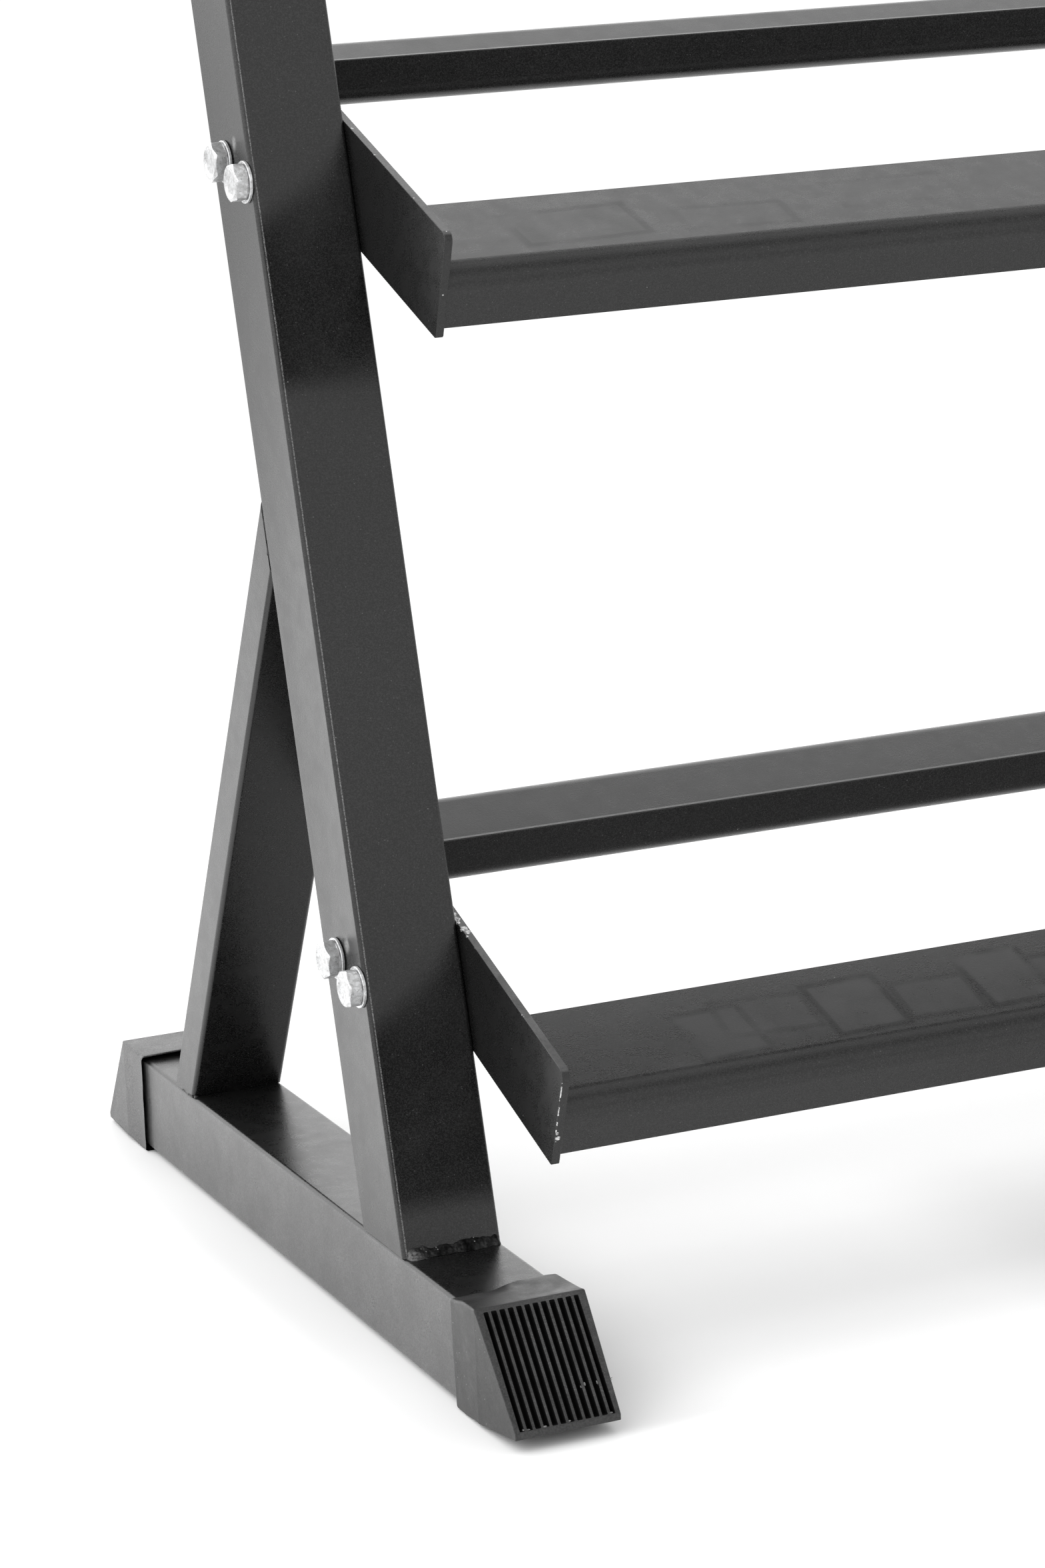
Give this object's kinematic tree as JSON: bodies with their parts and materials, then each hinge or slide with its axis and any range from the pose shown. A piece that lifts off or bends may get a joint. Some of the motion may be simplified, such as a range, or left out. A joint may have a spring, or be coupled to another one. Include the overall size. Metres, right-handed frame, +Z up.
{
  "type": "dumbbell rack",
  "caption": "Free-standing tiered dumbbell rack: leaning tube side frames on wedge feet, joined by sloping bolted shelves of folded steel rails.",
  "frame": {"origin": "on the floor, under the middle of the overall box", "axes": "+X to the right along the rails, -Y to the front (the side the dumbbells are taken from), +Z up"},
  "size_m": [1.2246, 0.564, 1.0257],
  "materials": {
    "coat": "satin black powder coat, fine texture",
    "foot_rubber": "matt, scuffed and dusty",
    "zinc": "bright zinc plate",
    "plug": "matt moulded"
  },
  "bodies": {
    "root": {"left_foot_tube": "coat", "left_upright_tube": "coat", "left_brace_tube": "coat", "left_front_foot_cap": "foot_rubber", "left_rear_foot_cap": "foot_rubber", "left_upright_top_plug": "plug", "right_foot_tube": "coat", "right_upright_tube": "coat", "right_brace_tube": "coat", "right_front_foot_cap": "foot_rubber", "right_rear_foot_cap": "foot_rubber", "right_upright_top_plug": "plug", "lower_tier_left_end_plate": "coat", "lower_tier_right_end_plate": "coat", "lower_tier_front_rail": "coat", "lower_tier_rear_rail": "coat", "lower_left_front_washer": "zinc", "lower_left_front_bolt": "zinc", "lower_left_front_lock_nut": "zinc", "lower_left_rear_washer": "zinc", "lower_left_rear_bolt": "zinc", "lower_left_rear_lock_nut": "zinc", "lower_right_front_washer": "zinc", "lower_right_front_bolt": "zinc", "lower_right_front_lock_nut": "zinc", "lower_right_rear_washer": "zinc", "lower_right_rear_bolt": "zinc", "lower_right_rear_lock_nut": "zinc", "middle_tier_left_end_plate": "coat", "middle_tier_right_end_plate": "coat", "middle_tier_front_rail": "coat", "middle_tier_rear_rail": "coat", "middle_left_front_washer": "zinc", "middle_left_front_bolt": "zinc", "middle_left_front_lock_nut": "zinc", "middle_left_rear_washer": "zinc", "middle_left_rear_bolt": "zinc", "middle_left_rear_lock_nut": "zinc", "middle_right_front_washer": "zinc", "middle_right_front_bolt": "zinc", "middle_right_front_lock_nut": "zinc", "middle_right_rear_washer": "zinc", "middle_right_rear_bolt": "zinc", "middle_right_rear_lock_nut": "zinc", "upper_tier_left_end_plate": "coat", "upper_tier_right_end_plate": "coat", "upper_tier_front_rail": "coat", "upper_tier_rear_rail": "coat", "upper_left_front_washer": "zinc", "upper_left_front_bolt": "zinc", "upper_left_front_lock_nut": "zinc", "upper_left_rear_washer": "zinc", "upper_left_rear_bolt": "zinc", "upper_left_rear_lock_nut": "zinc", "upper_right_front_washer": "zinc", "upper_right_front_bolt": "zinc", "upper_right_front_lock_nut": "zinc", "upper_right_rear_washer": "zinc", "upper_right_rear_bolt": "zinc", "upper_right_rear_lock_nut": "zinc"}
  },
  "joints": []
}
